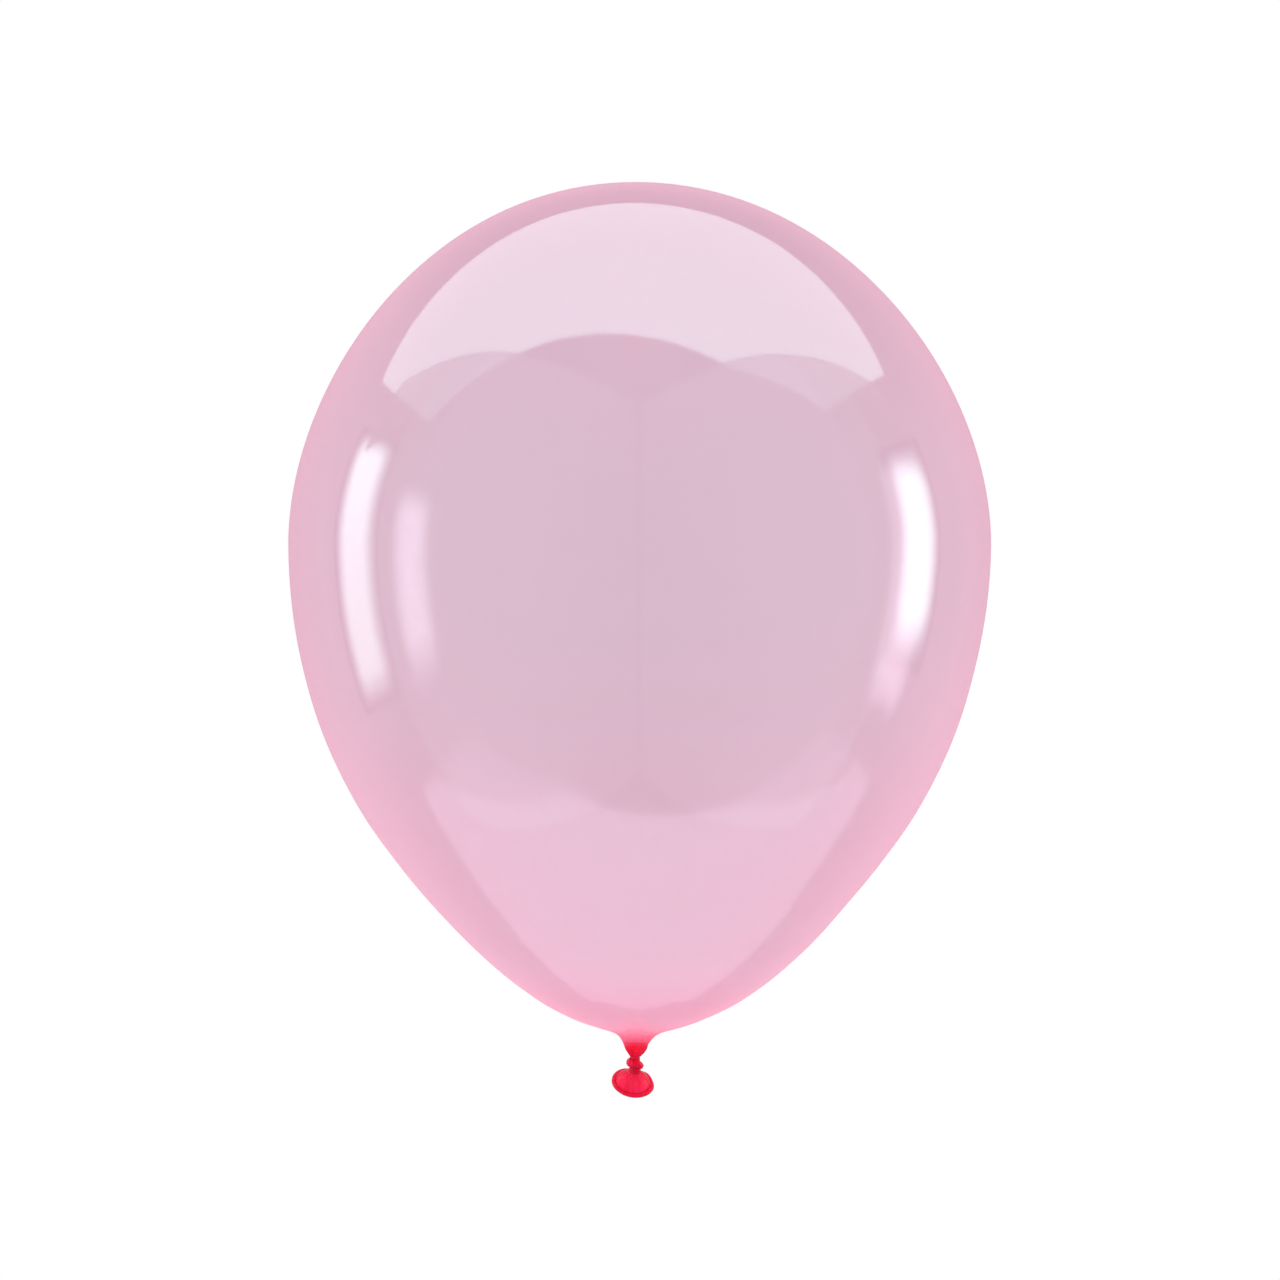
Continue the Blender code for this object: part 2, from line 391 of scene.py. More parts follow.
@dataclass(frozen=True)
class FilmFinish:
    """The stretched skin: clear pink, glossy, and redder and cloudier where it slackens.

    Each rise is a height where something starts and the lower height where it is full. A cover is
    the share of the light that the latex scatters. The rest goes through it and is tinted.
    """

    clear: Colour = (0.94, 0.86, 0.905, 1)
    clear_edge: Colour = (0.955, 0.815, 0.872, 1)
    slack: Colour = (1.0, 0.68, 0.78, 1)
    haze_tint: Colour = (1.0, 0.63, 0.75, 1)
    slack_tint: Colour = (1.0, 0.17, 0.30, 1)
    haze_roughness: float = 0.5
    edge_power: float = 1.6
    gloss: float = 0.042
    edge_gloss: float = 0.05
    edge_gloss_power: float = 3.0
    blur: Span = (0.06, 0.105)
    cloud: float = 0.068
    edge_cloud: float = 0.075
    cloud_rise: Span = (190 * MM, 60 * MM)
    foot_cloud: float = 0.038
    foot_rise: Span = (55 * MM, 18 * MM)
    first_slack: float = 0.14
    first_slack_rise: Span = (34 * MM, 13 * MM)
    full_slack_rise: Span = (13 * MM, 5.5 * MM)
    slack_cover: float = 0.30
    drift_cover: float = 0.008
    edge_cover: float = 0.015
    cloud_scale: float = 14.0
    grain_scale: float = 900.0
    grain_strength: float = 0.04
    grain_depth: float = 0.2 * MM

    def slackness(self, board: Board, height: object) -> bpy.types.NodeSocket:
        """How slack the skin is at a height: 0 where it is tight, 1 at the throat."""
        first = board.ramp(height, *self.first_slack_rise, 0.0, self.first_slack)
        full = board.ramp(height, *self.full_slack_rise, 0.0, 1.0 - self.first_slack)
        return board.maths("ADD", first, full)

    def cover(
        self, board: Board, height: object, edge: object, slack: object, drift: object
    ) -> bpy.types.NodeSocket:
        """How much of the light the latex scatters.

        Args:
            board: The material's board.
            height: The height above the pinch.
            edge: How much the skin is seen edge on.
            slack: How slack it is.
            drift: The slow unevenness of the dye.

        Returns:
            The share, from 0 to 1.
        """
        cloudy = board.ramp(edge, 0.0, 0.5, self.cloud, self.edge_cloud)
        return board.total(
            (
                board.maths("MULTIPLY", board.ramp(height, *self.cloud_rise, 0.0, 1.0), cloudy),
                board.maths("MULTIPLY", drift, self.drift_cover),
                board.maths("MULTIPLY", edge, self.edge_cover),
                board.maths("MULTIPLY", slack, self.slack_cover),
                board.ramp(height, *self.foot_rise, 0.0, self.foot_cloud),
            )
        )

    def material(self) -> bpy.types.Material:
        """Builds the material.

        Returns:
            A see-through tint with a little pink haze, under a clear gloss. What the far side of the
            balloon reflects is blurred a little by the near side.
        """
        material, board = new_board(Slot.FILM.value + "_finish")
        place = board.node("TexCoord").outputs["Object"]
        height = board.node("SeparateXYZ", {"Vector": place}).outputs["Z"]
        grain = board.grain(place, self.cloud_scale, self.grain_scale)
        facing = board.node("LayerWeight", {"Blend": 0.5}).outputs["Facing"]
        edge = board.maths("POWER", facing, self.edge_power)
        slack = self.slackness(board, height)
        tint = board.mix(slack, board.mix(edge, self.clear, self.clear_edge), self.slack)
        clear = board.node("BsdfTransparent", {"Color": tint})
        dye = board.mix(slack, self.haze_tint, self.slack_tint)
        haze = board.node("BsdfPrincipled", {"Base Color": dye, "Roughness": self.haze_roughness})
        haze.inputs["Specular IOR Level"].default_value = 0.0
        bump = board.node(
            "Bump",
            {"Height": grain["Height"], "Strength": self.grain_strength, "Distance": self.grain_depth},
        )
        depth = board.node("LightPath").outputs["Transparent Depth"]
        blur = board.ramp(depth, 1.0, 2.0, *self.blur)
        shine = board.node("BsdfGlossy", {"Roughness": blur, "Normal": bump.outputs[0]})
        at_edge = board.maths("POWER", facing, self.edge_gloss_power)
        share = board.maths("ADD", board.maths("MULTIPLY", at_edge, self.edge_gloss), self.gloss)
        cover = self.cover(board, height, edge, slack, grain["Cloud"])
        skin = board.layer(share, board.layer(cover, clear, haze), shine)
        board.node("OutputMaterial", {"Surface": skin.outputs[0]})
        return material


@dataclass(frozen=True)
class RedFinish:
    """Slack, thick, gathered latex: strong red that light still glows through.

    Between the two heights of fade the red turns pale. The default heights are above the balloon.
    """

    slot: Slot
    glow: Colour = (1.0, 0.14, 0.30, 1)
    glow_edge: Colour = (0.85, 0.0, 0.06, 1)
    edge: Colour = (0.17, 0.0, 0.022, 1)
    light: Colour = (1.0, 0.030, 0.12, 1)
    deep: Colour = (1.0, 0.008, 0.06, 1)
    pale: Colour = (1.0, 0.11, 0.22, 1)
    fade: Span = (1.0, 2.0)
    cover: float = 0.45
    edge_cover: float = 0.4
    edge_power: float = 2.4
    shine: float = 0.15
    refraction: float = 1.52
    roughness: float = 0.28
    rougher: Span = (-0.06, 0.08)
    cloud_scale: float = 420.0
    grain_scale: float = 1500.0
    grain_strength: float = 0.5
    grain_depth: float = 0.1 * MM
    stretch: tuple[float, float, float] = (1.0, 1.0, 0.35)

    def material(self) -> bpy.types.Material:
        """Builds the material.

        Returns:
            A red see-through tint under a red skin with a soft shine, darker where it is seen edge on.
        """
        material, board = new_board(self.slot.value + "_finish")
        place = board.node("TexCoord").outputs["Object"]
        along = board.node("Mapping", {"Vector": place, "Scale": self.stretch}).outputs[0]
        grain = board.grain(along, self.cloud_scale, self.grain_scale)
        facing = board.node("LayerWeight", {"Blend": 0.5}).outputs["Facing"]
        edge = board.maths("POWER", facing, self.edge_power)
        glow = board.node("BsdfTransparent", {"Color": board.mix(edge, self.glow, self.glow_edge)})
        body = board.mix(edge, board.mix(grain["Cloud"], self.deep, self.light), self.edge)
        height = board.node("SeparateXYZ", {"Vector": place}).outputs["Z"]
        body = board.mix(board.ramp(height, *self.fade, 0.0, 1.0), body, self.pale)
        bump = board.node(
            "Bump",
            {"Height": grain["Height"], "Strength": self.grain_strength, "Distance": self.grain_depth},
        )
        smoothest, roughest = (self.roughness + step for step in self.rougher)
        rough = board.ramp(grain["Height"], 0.3, 0.7, smoothest, roughest)
        skin = board.node(
            "BsdfPrincipled",
            {"Base Color": body, "Roughness": rough, "Normal": bump.outputs[0], "IOR": self.refraction},
        )
        skin.inputs["Specular IOR Level"].default_value = self.shine
        share = board.maths("ADD", board.maths("MULTIPLY", edge, self.edge_cover), self.cover)
        board.node("OutputMaterial", {"Surface": board.layer(share, glow, skin).outputs[0]})
        return material


# ---------------------------------------------------------------- the balloon


@dataclass
class Piece:
    """A finished piece, and how it is hooked to the frame."""

    mesh: bpy.types.Object
    finish: bpy.types.Material
    slot: Slot
    stands_for: tuple[str, ...] = ()

    def dress(self) -> None:
        """Gives the piece its finish and hides the CAD nodes that it stands for."""
        self.mesh.data.materials.append(self.finish)
        if self.stands_for:
            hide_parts(*self.stands_for)

    def ride(self, body: str) -> None:
        """Hooks the piece to one body."""
        self.dress()
        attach(self.mesh, body)
        LOG.info("%s rides on %s", self.mesh.name, body)

    def bend(self, first: str, second: str, start: Vector, end: Vector) -> None:
        """Gives the piece its finish and bakes its placement into its mesh."""
        self.dress()
        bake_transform(self.mesh)
        LOG.info("%s bends from %s to %s", self.mesh.name, first, second)


@dataclass
class Envelope:
    """The blown-up skin, from the crown down to the throat, where the gathers start.

    Each rise is a lower and an upper height between which something eases in or out. Lean says how far
    the skin's middle lies to the right, and tuck how much wider it is than its plain outline, at
    heights up the skin. Both are in millimetres.
    """

    sides: int = 192
    rows: tuple[int, int, int] = (44, 60, 26)
    widest_height: float = 202.8 * MM
    crown_handle: float = 83.6 * MM
    shoulder_handle: float = 65.5 * MM
    flank_handle: float = 120.3 * MM
    foot: Span = (38.0 * MM, 20.4 * MM)
    foot_slope: float = math.radians(28.7)
    foot_handle: float = 28.3 * MM
    throat_handle: float = 9.0 * MM
    throat_slope: float = math.radians(59.4)
    throat: Span = (5.6 * MM, 5.2 * MM)
    wall: float = 0.12 * MM
    out_of_round: float = 0.0022
    round_rise: Span = (8 * MM, 90 * MM)
    gathers: int = 13
    gather_depth: float = 0.025
    gather_rise: Span = (5 * MM, 15 * MM)
    lean: Stops = (
        *((5, 0.4), (9, 1.0), (12, 1.65), (14, 1.5), (18, 1.8), (24, 2.1)),
        *((30, 2.2), (46, 2.1), (62, 1.6), (150, 1.5), (205, 1.8), (260, 1.6), (310, 1.0), (347, 0.3)),
    )
    tuck: Stops = (
        *((5, -0.6), (9, -0.75), (12, -1.05), (14, -0.75), (18, -0.7), (24, -0.45), (30, -0.2)),
        *((40, -0.5), (62, -1.5), (78, -1.3), (96, -0.6), (125, -0.5), (155, -0.9), (185, -0.75)),
        *((210, -0.5), (310, -0.4), (347, 0.0)),
    )

    def outline(self) -> list[Span]:
        """The half outline as (radius, height), from just under the crown to the throat."""
        low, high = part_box("envelope")
        radius, crown = (high[0] - low[0]) / 2, high[2]
        widest = (radius, self.widest_height)
        foot, throat = self.foot, self.throat
        at_foot = (math.cos(self.foot_slope), math.sin(self.foot_slope))
        at_throat = (math.cos(self.throat_slope), math.sin(self.throat_slope))
        upper = [(0, crown), (self.crown_handle, crown), (radius, widest[1] + self.shoulder_handle), widest]
        flank = [widest, (radius, widest[1] - self.flank_handle), foot, foot]
        lower = [
            foot,
            tuple(foot[k] - self.foot_handle * at_foot[k] for k in (0, 1)),
            tuple(throat[k] + self.throat_handle * at_throat[k] for k in (0, 1)),
            throat,
        ]
        curves = zip((upper, flank, lower), self.rows)
        return [p for curve, steps in curves for p in bezier(curve, steps)][1:] + [throat]

    def rings(self, inset: float) -> list[np.ndarray]:
        """The skin's rings.

        Args:
            inset: How far inside the skin's outer surface they lie.

        Returns:
            One ring for each point of the outline, from the top down.
        """
        outline = self.outline()
        a = angles_round(self.sides)
        result = []
        for i, (radius, height) in enumerate(outline):
            before, after = outline[max(i - 1, 0)], outline[min(i + 1, len(outline) - 1)]
            run = math.hypot(after[0] - before[0], after[1] - before[1])
            inward = ((after[1] - before[1]) / run, (before[0] - after[0]) / run)
            slow = np.cos(2 * a + 0.6) + 0.5 * np.cos(3 * a - 1.1)
            gather = self.gather_depth * (1 - soft_step(*self.gather_rise, height))
            uneven = 1 + self.out_of_round * soft_step(*self.round_rise, height) * slow
            uneven = uneven + gather * pleats(a, self.gathers, 0.0)
            lean, tuck = (read_stops(height / MM, stops) * MM for stops in (self.lean, self.tuck))
            middle = Vector((lean, 0, height + inset * inward[1]))
            result.append(ring(middle, RIGHT, BACK, (radius + tuck + inset * inward[0]) * uneven))
        return result

    def build(self) -> None:
        """Makes the skin and hooks it to the balloon."""
        skin = shell_piece("envelope_skin", self.rings(0.0), self.rings(self.wall), crown=True)
        Piece(skin, FilmFinish().material(), Slot.FILM, ("envelope",)).ride("balloon")


@dataclass
class Neck:
    """The gathered funnel between the throat and the upper pinch.

    Left and right say how far its sides stand out at each height, in millimetres.
    """

    sides: int = 144
    rows: int = 40
    top: float = 5.7 * MM
    end: float = 0.6 * MM
    bend_top: float = 4.8 * MM
    gathers: int = 13
    gather_depth: float = 0.075
    wind: float = 0.9
    wall: float = 0.35 * MM
    curl: float = 0.55 * MM
    curl_rows: int = 8
    left: Stops = ((0.5, 2.2), (1.5, 2.75), (2.9, 3.65), (5.2, 4.66), (6.2, 5.26))
    right: Stops = ((0.5, 2.5), (1.0, 3.1), (1.7, 3.7), (2.9, 4.5), (5.2, 5.46), (6.2, 6.06))

    def rim(self, angles: np.ndarray) -> np.ndarray:
        """How far the wavy top edge stands up at each angle."""
        slow, quick = 0.22 * np.sin(2 * angles + 0.9), 0.14 * np.sin(5 * angles)
        return (slow + quick + 0.05 * np.sin(13 * angles)) * MM

    def places(self) -> list[Span]:
        """Each ring's height and how far it is drawn in, down the funnel and round its curled end."""
        down = [(self.top + (self.end - self.top) * i / self.rows, 0.0) for i in range(self.rows)]
        bends = [math.pi / 2 * i / self.curl_rows for i in range(self.curl_rows + 1)]
        return down + [(self.end - self.curl * math.sin(b), self.curl * (1 - math.cos(b))) for b in bends]

    def rings(self, inset: float) -> list[np.ndarray]:
        """The funnel's rings from the top down.

        Args:
            inset: How far inside the outer surface they lie.

        Returns:
            The rings.
        """
        a = angles_round(self.sides)
        result = []
        for height, drawn_in in self.places():
            share = (self.top - height) / (self.top - self.end)
            gather = self.gather_depth * soft_step(0.0, 0.75, share)
            left, right = (read_stops(height / MM, stops) * MM for stops in (self.left, self.right))
            folds = 1 + gather * (pleats(a, self.gathers, self.wind * share) - 0.2)
            radii = (right + left) / 2 * folds - inset - drawn_in
            level = ring(Vector(((right - left) / 2, 0, height)), RIGHT, BACK, radii)
            level[:, 2] += self.rim(a) * (1 - soft_step(0.0, 0.35, share))
            result.append(level)
        return result

    def build(self) -> None:
        """Makes the funnel and gives it its finish."""
        funnel = shell_piece("gathered_neck", self.rings(0.0), self.rings(self.wall))
        finish = RedFinish(Slot.NECK, cover=0.5, fade=(3.6 * MM, 6.1 * MM)).material()
        piece = Piece(funnel, finish, Slot.NECK, ("neck",))
        piece.bend("balloon", "neck_pinch", Vector((0, 0, self.bend_top)), Vector((0, 0, 0)))


@dataclass
class Twist:
    """A pinched, wound stretch of skin that runs across a joint.

    Radii are at its start, middle and end, in millimetres. It sets off downwards and ends along
    last_way, where dome_rows more rings round it off.
    """

    name: str
    bodies: tuple[str, str]
    start: Vector
    end: Vector
    radii: tuple[float, float, float]
    finish: bpy.types.Material
    stands_for: tuple[str, ...] = ()
    last_way: Vector = field(default_factory=DOWN.copy)
    dome_rows: int = 0
    sides: int = 72
    rows: int = 24
    gathers: int = 7
    gather_depth: float = 0.06
    wind: float = 0.9

    def build(self) -> None:
        """Makes the bundle and gives it its finish."""
        a = angles_round(self.sides)
        rings = []
        stops = tuple(zip((0.0, 0.5, 1.0), self.radii))
        for i in range(self.rows + 1):
            share = i / self.rows
            way = DOWN.lerp(self.last_way, share).normalized()
            over = way.cross(RIGHT).normalized()
            folds = 0.96 + self.gather_depth * pleats(a, self.gathers, self.wind * share)
            radii = read_stops(share, stops) * MM * folds
            rings.append(ring(self.start.lerp(self.end, share), over.cross(way), over, radii))
        for i in range(1, self.dome_rows):
            rise = math.pi / 2 * i / self.dome_rows
            past = self.end + way * (self.radii[2] * MM * math.sin(rise))
            rings.append(ring(past, over.cross(way), over, radii * math.cos(rise)))
        bundle = solid_piece(self.name, rings)
        Piece(bundle, self.finish, Slot.TWIST, self.stands_for).bend(*self.bodies, self.start, self.end)


@dataclass
class Knot:
    """A tight overhand knot: the skin's own bundle, and the turn that it makes round itself."""

    sides: int = 64
    turn_rows: int = 120
    bundle_rows: int = 48
    centre: Vector = field(default_factory=lambda: Vector((-0.05, 0.35, -2.92)) * MM)
    reach: Span = (1.9 * MM, 1.75 * MM)
    tube: float = 1.66 * MM
    tilt: float = math.radians(16)
    pressed: float = 0.25
    top: float = -0.45 * MM
    end: float = -4.95 * MM
    bow: float = 1.75 * MM
    aside: Span = (0.05 * MM, 0.30 * MM)
    widths: Stops = ((0.0, 1.95), (0.3, 1.9), (0.6, 1.8), (0.85, 2.1), (1.0, 2.4))

    def wrap(self) -> bpy.types.Object:
        """The turn round the bundle.

        Returns:
            A fat uneven ring, higher on the left than on the right, pressed flat where the bundle
            comes down over its front.
        """
        sections = []
        a = angles_round(self.sides)
        slope = Vector((math.cos(self.tilt), 0, -math.sin(self.tilt)))
        up = slope.cross(BACK)
        for phi in angles_round(self.turn_rows):
            out = slope * math.cos(phi) + BACK * math.sin(phi)
            aside, behind = self.reach[0] * math.cos(phi), self.reach[1] * math.sin(phi)
            middle = self.centre + slope * aside + BACK * behind
            swell = 1 + 0.10 * math.cos(phi - 2.6) + 0.05 * math.sin(3 * phi + 0.4)
            folds = 0.95 + 0.06 * pleats(a, 6, 0.8 * math.sin(phi) + 0.3)
            corner = 1 + 0.10 * math.cos(phi) * np.cos(a + 0.9) + 0.04 * np.cos(3 * a + phi)
            tall = 1 + 0.05 * np.sin(a) ** 2
            front = soft_step(-0.55, -1.0, math.sin(phi))
            radii = self.tube * swell * folds * corner * tall * (1 - self.pressed * front)
            sections.append(ring(middle, out, up, radii))
        return loop_piece("knot_wrap", sections)

    def bundle(self) -> bpy.types.Object:
        """The bundle that comes down over the front of the turn and in under it."""
        a = angles_round(self.sides)
        rings = []
        for i in range(self.bundle_rows + 1):
            share = (1 - math.cos(math.pi * i / self.bundle_rows)) / 2
            aside = self.aside[0] + (self.aside[1] - self.aside[0]) * share
            forward = -self.bow * math.sin(math.pi * share) ** 1.2
            middle = Vector((aside, forward, self.top + (self.end - self.top) * share))
            width = read_stops(share, self.widths) * MM * blunt(share, 0.2)
            folds = 0.94 + 0.07 * pleats(a, 7, 2.0 + 0.5 * share)
            flat = 1 - 0.12 * np.sin(a) ** 2
            rings.append(ring(middle, RIGHT, BACK, width * folds * flat))
        return solid_piece("knot_bundle", rings)

    def build(self) -> None:
        """Makes both parts of the knot and hooks them to it."""
        finish = RedFinish(Slot.KNOT, cover=0.5).material()
        Piece(self.wrap(), finish, Slot.KNOT, ("knot_loop",)).ride("knot")
        Piece(self.bundle(), finish, Slot.KNOT, ("knot_core",)).ride("knot")


@dataclass
class Tail:
    """The end of the skin below the knot: a puckered skirt that flares to a rolled lip.

    Flare says how wide the skirt is, in millimetres, at shares of its length.
    """

    sides: int = 144
    rows: int = 44
    pitch: float = math.radians(36)
    lean: float = math.radians(9)
    root: Vector = field(default_factory=lambda: Vector((0.0, 0.0, -4.9)) * MM)
    length: float = 7.4 * MM
    flare: Stops = ((0.0, 1.4), (0.05, 2.1), (0.18, 2.55), (0.45, 4.2), (0.75, 6.5), (1.0, 7.6))
    wall: float = 0.35 * MM
    puckers: int = 11
    pucker_depth: float = 0.07
    lip: float = 7.5 * MM
    bead: float = 1.0 * MM
    bead_rows: int = 180
    bead_sides: int = 28

    def axes(self) -> tuple[Vector, Vector, Vector]:
        """The skirt's own directions: along it to the mouth, to its right, and over its front."""
        aside, across = math.sin(self.lean), math.cos(self.lean)
        back, drop = math.sin(self.pitch), math.cos(self.pitch)
        along = Vector((-aside * drop, back, -across * drop))
        front = along.cross(Vector((across, 0, -aside))).normalized()
        return along.normalized(), front.cross(along).normalized(), front

    def plan(self, angles: np.ndarray) -> np.ndarray:
        """The lip's uneven, egg-like plan, as a share of its radius at each angle."""
        egg = 1 + 0.01 * np.cos(angles - 2.9) + 0.03 * np.sin(2 * angles)
        return egg + 0.012 * np.cos(3 * angles + 0.6) + 0.09 * np.exp(-(((angles - 5.35) / 0.4) ** 2))

    def rings(self, inset: float) -> list[np.ndarray]:
        """The skirt's rings.

        Args:
            inset: How far inside the outer surface they lie.

        Returns:
            The rings, from the pinch to the lip.
        """
        along, right, front = self.axes()
        a = angles_round(self.sides)
        result = []
        for i in range(self.rows + 1):
            share = i / self.rows
            pucker = self.pucker_depth * (1 - soft_step(0.05, 0.8, share)) + 0.004
            shape = self.plan(a) ** soft_step(0.2, 1.0, share)
            folds = 1 + pucker * pleats(a, self.puckers, 0.5 * share)
            radii = read_stops(share, self.flare) * MM * shape * folds - inset
            result.append(ring(self.root + along * (self.length * share), right, front, radii))
        return result

    def rolled_bead(self) -> bpy.types.Object:
        """The lip's bead, as it is left after rolling up the skin's edge."""
        along, right, front = self.axes()
        middle = self.root + along * self.length
        a, around = angles_round(self.bead_sides), angles_round(self.bead_rows)
        sections = []
        for phi, share in zip(around, self.plan(around)):
            out = right * math.cos(phi) + front * math.sin(phi)
            roll = 1 + 0.06 * math.sin(2 * phi + 0.7) + 0.04 * math.sin(5 * phi)
            radii = self.bead * roll * (1 + 0.05 * np.cos(2 * a + phi) + 0.03 * np.cos(5 * a + 3 * phi))
            sections.append(ring(middle + out * (self.lip * share), out, along, radii))
        return loop_piece("rolled_bead", sections)

    def build(self) -> None:
        """Makes the skirt and the bead and hooks them to the tail."""
        skirt = shell_piece("flared_tail", self.rings(0.0), self.rings(self.wall))
        finish = RedFinish(Slot.TAIL, light=(1.0, 0.05, 0.15, 1), deep=(1.0, 0.014, 0.08, 1))
        Piece(skirt, finish.material(), Slot.TAIL, ("tail_skirt",)).ride("tail")
        finish = RedFinish(Slot.LIP, light=(1.0, 0.02, 0.09, 1), cover=0.5, roughness=0.38, edge_power=1.6)
        Piece(self.rolled_bead(), finish.material(), Slot.LIP, ("rolled_lip",)).ride("tail")


class Balloon:
    """The whole balloon, from the crown to the rolled lip."""

    def build(self) -> None:
        """Makes every piece, from the top down. Each pinch is two halves that meet at its joint."""
        tail = Tail()
        along, wound = tail.axes()[0], RedFinish(Slot.TWIST).material()
        Envelope().build()
        Neck().build()
        above, joint, below = Vector((0, 0, 1.2)) * MM, Vector((0, 0, 0)), Vector((0, 0.3, -2.2)) * MM
        radii, bodies = (2.0, 2.0, 1.95), ("balloon", "neck_pinch")
        Twist("upper_twist_top", bodies, above, joint, radii, wound, ("neck_strand",)).build()
        radii, bodies = (1.95, 1.95, 2.0), ("neck_pinch", "knot")
        Twist("upper_twist_bottom", bodies, joint, below, radii, wound).build()
        Knot().build()
        above, joint, below = Vector((0.1, 0, -3.5)) * MM, tail.root, tail.root + along * (1.1 * MM)
        radii, bodies = (2.3, 2.3, 2.3), ("knot", "tail_pinch")
        Twist("lower_twist_top", bodies, above, joint, radii, wound, ("tail_strand",), dome_rows=9).build()
        bodies = ("tail_pinch", "tail")
        Twist("lower_twist_bottom", bodies, joint, below, radii, wound, last_way=along).build()
        tail.build()


# ---------------------------------------------------------------- the studio


@dataclass
class Panel:
    """A soft light panel that only the balloon and the floor see."""

    name: str
    corners: list[Vector]
    strength: tuple[float, float]
    feather: tuple[float, float] = (0.03, 0.03)
    colour: Colour = (0.66, 1.0, 0.93, 1)
    sideways: float = 1.0
    sheer: float = 0.0

    def build(self) -> None:
        """Makes the panel.

        Its strength runs from its first two corners to the other two, and its feather is the share of
        its width and of its height that fades out at each edge. Sideways is how much stronger it is
        at its first corner than at its second, and sheer is how much shows through it. In glossy
        reflections its light has its own colour, the film's opposite.
        """
        mesh = bpy.data.meshes.new(self.name)
        mesh.from_pydata([tuple(c) for c in self.corners], [], [(0, 1, 2, 3)])
        layer = mesh.uv_layers.new(name="spread")
        for loop, spot in zip(layer.data, ((0, 0), (1, 0), (1, 1), (0, 1))):
            loop.uv = spot
        panel = bpy.data.objects.new(self.name, mesh)
        bpy.context.scene.collection.objects.link(panel)
        material, board = new_board(self.name)
        spread = board.node("SeparateXYZ", {"Vector": board.node("TexCoord").outputs["UV"]}).outputs
        level = board.ramp(spread["Y"], 0.0, 1.0, *self.strength)
        for axis, width in zip("XY", self.feather):
            if not width:
                continue
            level = board.maths("MULTIPLY", level, board.ramp(spread[axis], 0.0, width, 0.0, 1.0))
            level = board.maths("MULTIPLY", level, board.ramp(spread[axis], 1.0, 1.0 - width, 0.0, 1.0))
        level = board.maths("MULTIPLY", level, board.ramp(spread["X"], 0.0, 1.0, self.sideways, 1.0))
        tint = board.mix(board.node("LightPath").outputs["Is Glossy Ray"], WHITE, self.colour)
        glow = board.node("Emission", {"Color": tint, "Strength": level})
        scrim = board.layer(self.sheer, glow, board.node("BsdfTransparent"))
        board.node("OutputMaterial", {"Surface": scrim.outputs[0]})
        mesh.materials.append(material)
        panel.visible_camera = False


def upright(first: Vector, second: Vector, foot: float, top: float) -> list[Vector]:
    """The corners of an upright panel that stands over the line between two places."""
    low, high = Vector((0, 0, foot)), Vector((0, 0, top))
    return [first + low, second + low, second + high, first + high]


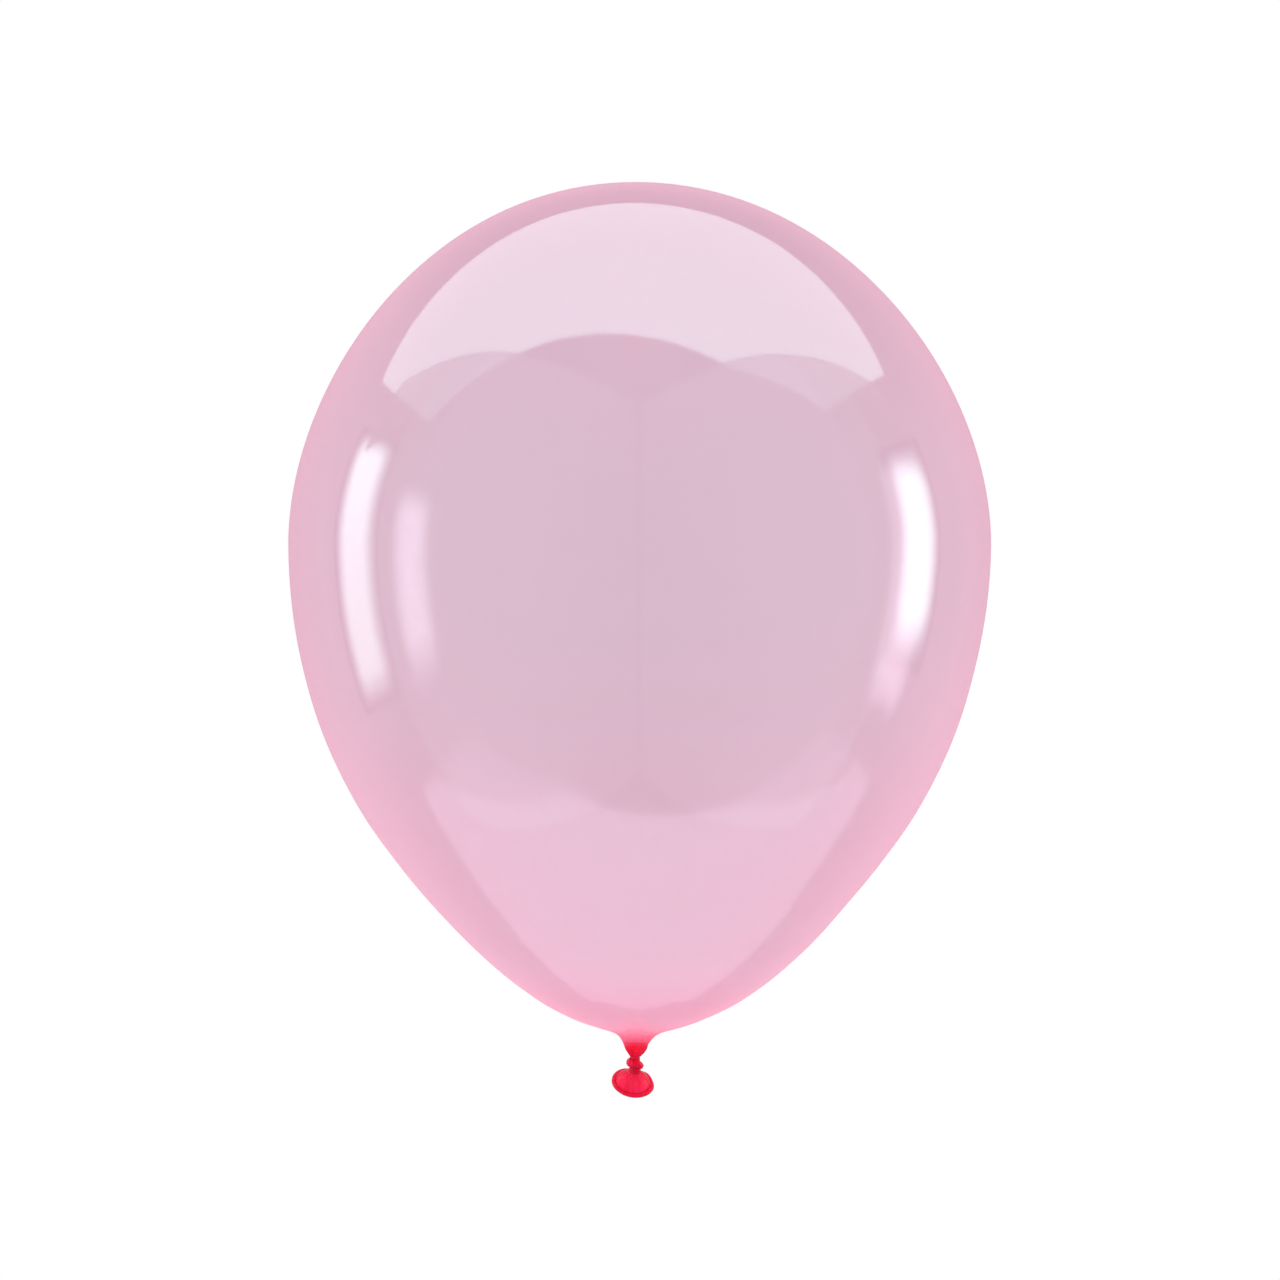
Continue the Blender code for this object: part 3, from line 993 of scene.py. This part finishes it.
@dataclass
class Studio:
    """A plain pale floor, soft light from panels round the balloon, and the camera."""

    centre_height: float = 0.18
    floor_height: float = -1.6
    floor_radius: float = 7.0
    floor_sides: int = 96
    floor_fade: Span = (2.0, 6.2)
    floor_colour: Colour = (0.58, 0.58, 0.58, 1)
    overhead_height: float = 1.5
    overhead_level: Span = (3.9, 4.1)
    wing_reach: float = 1.128
    wing_span: Span = (-1.344, 1.144)
    brow_foot: float = 0.62
    brow_far: Span = (1.66, 0.53)
    wing_level: float = 0.45
    wing_gain: float = 1.9
    wing_sheer: float = 0.3
    room_dim: float = 0.12
    room_behind: float = 0.95
    room_soft: float = 1.6
    view_width: float = 509 * MM
    view_aside: float = 2 * MM
    view_distance: float = 3.0
    sensor: float = 36.0

    def floor(self) -> None:
        """A pale disc that fades into the white round it."""
        radii = np.full(self.floor_sides, self.floor_radius)
        rim = ring(Vector((0, 0, self.floor_height)), RIGHT, BACK, radii)
        mesh = bpy.data.meshes.new("floor")
        mesh.from_pydata(rim.tolist(), [], [tuple(range(self.floor_sides))])
        floor = bpy.data.objects.new("floor", mesh)
        bpy.context.scene.collection.objects.link(floor)
        material, board = new_board("pale_floor")
        place = board.node("TexCoord").outputs["Object"]
        flat = board.node("VectorMath", {0: place, 1: (1, 1, 0)}, operation="MULTIPLY").outputs[0]
        reach = board.node("VectorMath", {0: flat}, operation="LENGTH").outputs["Value"]
        paint = board.node("BsdfDiffuse", {"Color": self.floor_colour})
        white = board.node("Emission", {"Color": WHITE, "Strength": 1.0})
        fade = board.ramp(reach, *self.floor_fade, 0.0, 1.0)
        board.node("OutputMaterial", {"Surface": board.layer(fade, paint, white).outputs[0]})
        mesh.materials.append(material)
        floor.visible_glossy = False

    def overhead(self) -> None:
        """The big panel overhead, in two halves that meet above the balloon."""
        halves = {
            "overhead_left": [(-2.15, -0.24), (0.70, -0.72), (0.70, 1.08), (-2.05, 1.20)],
            "overhead_right": [(0.70, -0.72), (1.75, -0.45), (1.85, 0.93), (0.70, 1.08)],
        }
        for name, corners in halves.items():
            spots = [Vector((x, y, self.overhead_height)) for x, y in corners]
            Panel(name, spots, self.overhead_level, feather=(0.0, 0.015)).build()

    def strip(self, name: str, across: float, reach: Span, rise: Span, level: Span, feather: Span) -> None:
        """A tall narrow panel beside the balloon.

        Args:
            name: The panel's name.
            across: How far out to the right it stands.
            reach: Where its near and far edges are, counted from the balloon's middle backwards.
            rise: The heights of its foot and top.
            level: How bright it is at its foot and at its top.
            feather: How much of its width and of its height fades out at each edge.
        """
        near, far = (Vector((across, y, 0)) for y in reach)
        Panel(name, upright(near, far, *rise), level, feather).build()

    def wing(self, name: str, side: float) -> None:
        """A large dim panel at an angle between one side and the camera, and its brow behind it.

        Args:
            name: Which side it is on.
            side: That side's sign, with the right as 1.
        """
        foot, top = (self.centre_height + height for height in self.wing_span)
        out, near = RIGHT * (side * self.wing_reach), -BACK * self.wing_reach
        far = Vector((side * self.brow_far[0], self.brow_far[1], 0))
        dim, bright = self.wing_level, self.wing_level * self.wing_gain
        wing = Panel(name + "_wing", upright(out, near, foot, top), (dim, dim), (0.02, 0.015))
        wing.sideways, wing.sheer = self.wing_gain, self.wing_sheer
        wing.build()
        spots = upright(far, out, self.centre_height + self.brow_foot, top)
        Panel(name + "_brow", spots, (dim, bright), (0.0, 0.03), sheer=self.wing_sheer).build()

    def world(self) -> None:
        """White behind the balloon, and a dim room for what reflects."""
        world = bpy.data.worlds.new("room")
        bpy.context.scene.world = world
        world.use_nodes = True
        board = Board(world.node_tree)
        world.cycles.sampling_method = "NONE"
        path = board.node("LightPath").outputs
        seen = board.maths("MAXIMUM", path["Is Camera Ray"], path["Is Diffuse Ray"])
        way = board.node("SeparateXYZ", {"Vector": board.node("TexCoord").outputs["Generated"]}).outputs
        level = board.ramp(board.maths("ABSOLUTE", way["Z"]), 0.2, 0.8, 1.0, self.room_dim)
        behind = board.ramp(way["Y"], -0.6, 1.0, self.room_dim, self.room_behind)
        dim = board.maths("MAXIMUM", board.maths("MULTIPLY", level, behind), self.room_dim)
        room = board.node("Background", {"Color": WHITE, "Strength": dim})
        soft = board.ramp(path["Is Diffuse Ray"], 0.0, 1.0, 1.0, self.room_soft)
        white = board.node("Background", {"Color": WHITE, "Strength": soft})
        board.node("OutputWorld", {"Surface": board.layer(seen, room, white).outputs[0]})

    def camera(self) -> None:
        """A long lens, level with the middle of the balloon."""
        low, high = (Vector(corner) for corner in cad_box)
        data = bpy.data.cameras.new("camera")
        data.sensor_width = self.sensor
        data.lens = self.sensor * self.view_distance / self.view_width
        data.clip_end = 100.0
        camera = bpy.data.objects.new("camera", data)
        camera.location = (self.view_aside, -self.view_distance, (low.z + high.z) / 2)
        camera.rotation_euler = (math.radians(90), 0, 0)
        bpy.context.scene.collection.objects.link(camera)
        bpy.context.scene.camera = camera

    def build(self) -> None:
        """Sets up the floor, the light and the camera."""
        scene = bpy.context.scene
        scene.view_settings.view_transform = "Standard"
        scene.cycles.transparent_max_bounces = 24
        self.camera()
        self.world()
        self.floor()
        self.overhead()
        self.strip("left_strip", -3.0, (0.12, 1.50), (-1.00, 1.56), (5.7, 8.3), (0.35, 0.13))
        self.strip("right_strip", 0.54, (-0.08, 0.125), (0.02, 0.43), (8.5, 8.5), (0.35, 0.25))
        self.wing("left", -1)
        self.wing("right", 1)


def main() -> None:
    """Builds the studio and the balloon."""
    logging.basicConfig(level=logging.INFO)
    Studio().build()
    Balloon().build()


if __name__ == "__main__":
    main()
